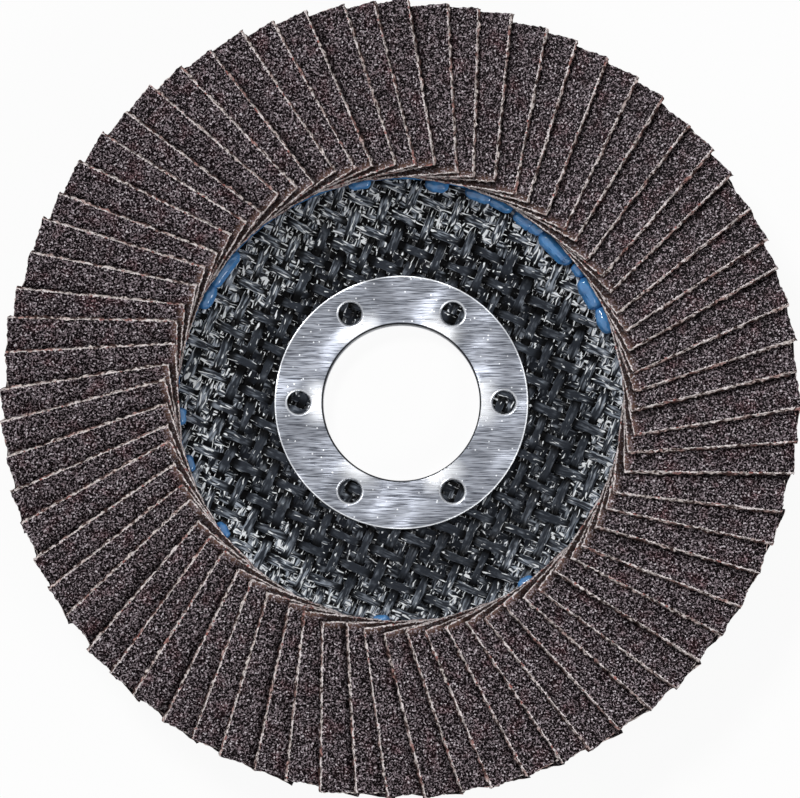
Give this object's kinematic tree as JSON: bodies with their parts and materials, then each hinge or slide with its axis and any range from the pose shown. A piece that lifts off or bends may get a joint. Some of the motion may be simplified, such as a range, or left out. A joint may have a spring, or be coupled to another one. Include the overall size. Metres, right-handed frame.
{
  "type": "flap disc",
  "caption": "Flap disc for an angle grinder: overlapping rectangular abrasive cloth flaps on a dished, woven fibreglass plate with a pierced steel arbor ring.",
  "frame": {"origin": "on the bore's axis, level with the back of the hub, which the disc rests on", "axes": "+Z along the bore from the grinder's side towards the abrasive side; +X and +Y lie in the disc's plane, with a hole of the ring on +X"},
  "size_m": [0.1126, 0.1126, 0.016],
  "materials": {
    "fibreglass": "glossy resin over woven glass fibre",
    "tinned_steel": "brushed",
    "blue_epoxy": "glossy",
    "abrasive_cloth": "brown grit in matt resin on cloth"
  },
  "bodies": {
    "root": {"backing_plate": "fibreglass", "arbor_ring": "tinned_steel", "adhesive_bed": "blue_epoxy", "flap_pair_01": "abrasive_cloth", "flap_pair_02": "abrasive_cloth", "flap_pair_03": "abrasive_cloth", "flap_pair_04": "abrasive_cloth", "flap_pair_05": "abrasive_cloth", "flap_pair_06": "abrasive_cloth", "flap_pair_07": "abrasive_cloth", "flap_pair_08": "abrasive_cloth", "flap_pair_09": "abrasive_cloth", "flap_pair_10": "abrasive_cloth", "flap_pair_11": "abrasive_cloth", "flap_pair_12": "abrasive_cloth", "flap_pair_13": "abrasive_cloth", "flap_pair_14": "abrasive_cloth", "flap_pair_15": "abrasive_cloth", "flap_pair_16": "abrasive_cloth", "flap_pair_17": "abrasive_cloth", "flap_pair_18": "abrasive_cloth", "flap_pair_19": "abrasive_cloth", "flap_pair_20": "abrasive_cloth", "flap_pair_21": "abrasive_cloth", "flap_pair_22": "abrasive_cloth", "flap_pair_23": "abrasive_cloth", "flap_pair_24": "abrasive_cloth", "flap_pair_25": "abrasive_cloth", "flap_pair_26": "abrasive_cloth", "flap_pair_27": "abrasive_cloth", "flap_pair_28": "abrasive_cloth", "flap_pair_29": "abrasive_cloth", "flap_pair_30": "abrasive_cloth", "flap_pair_31": "abrasive_cloth", "flap_pair_32": "abrasive_cloth", "flap_pair_33": "abrasive_cloth", "flap_pair_34": "abrasive_cloth", "flap_pair_35": "abrasive_cloth", "flap_pair_36": "abrasive_cloth"}
  },
  "joints": []
}
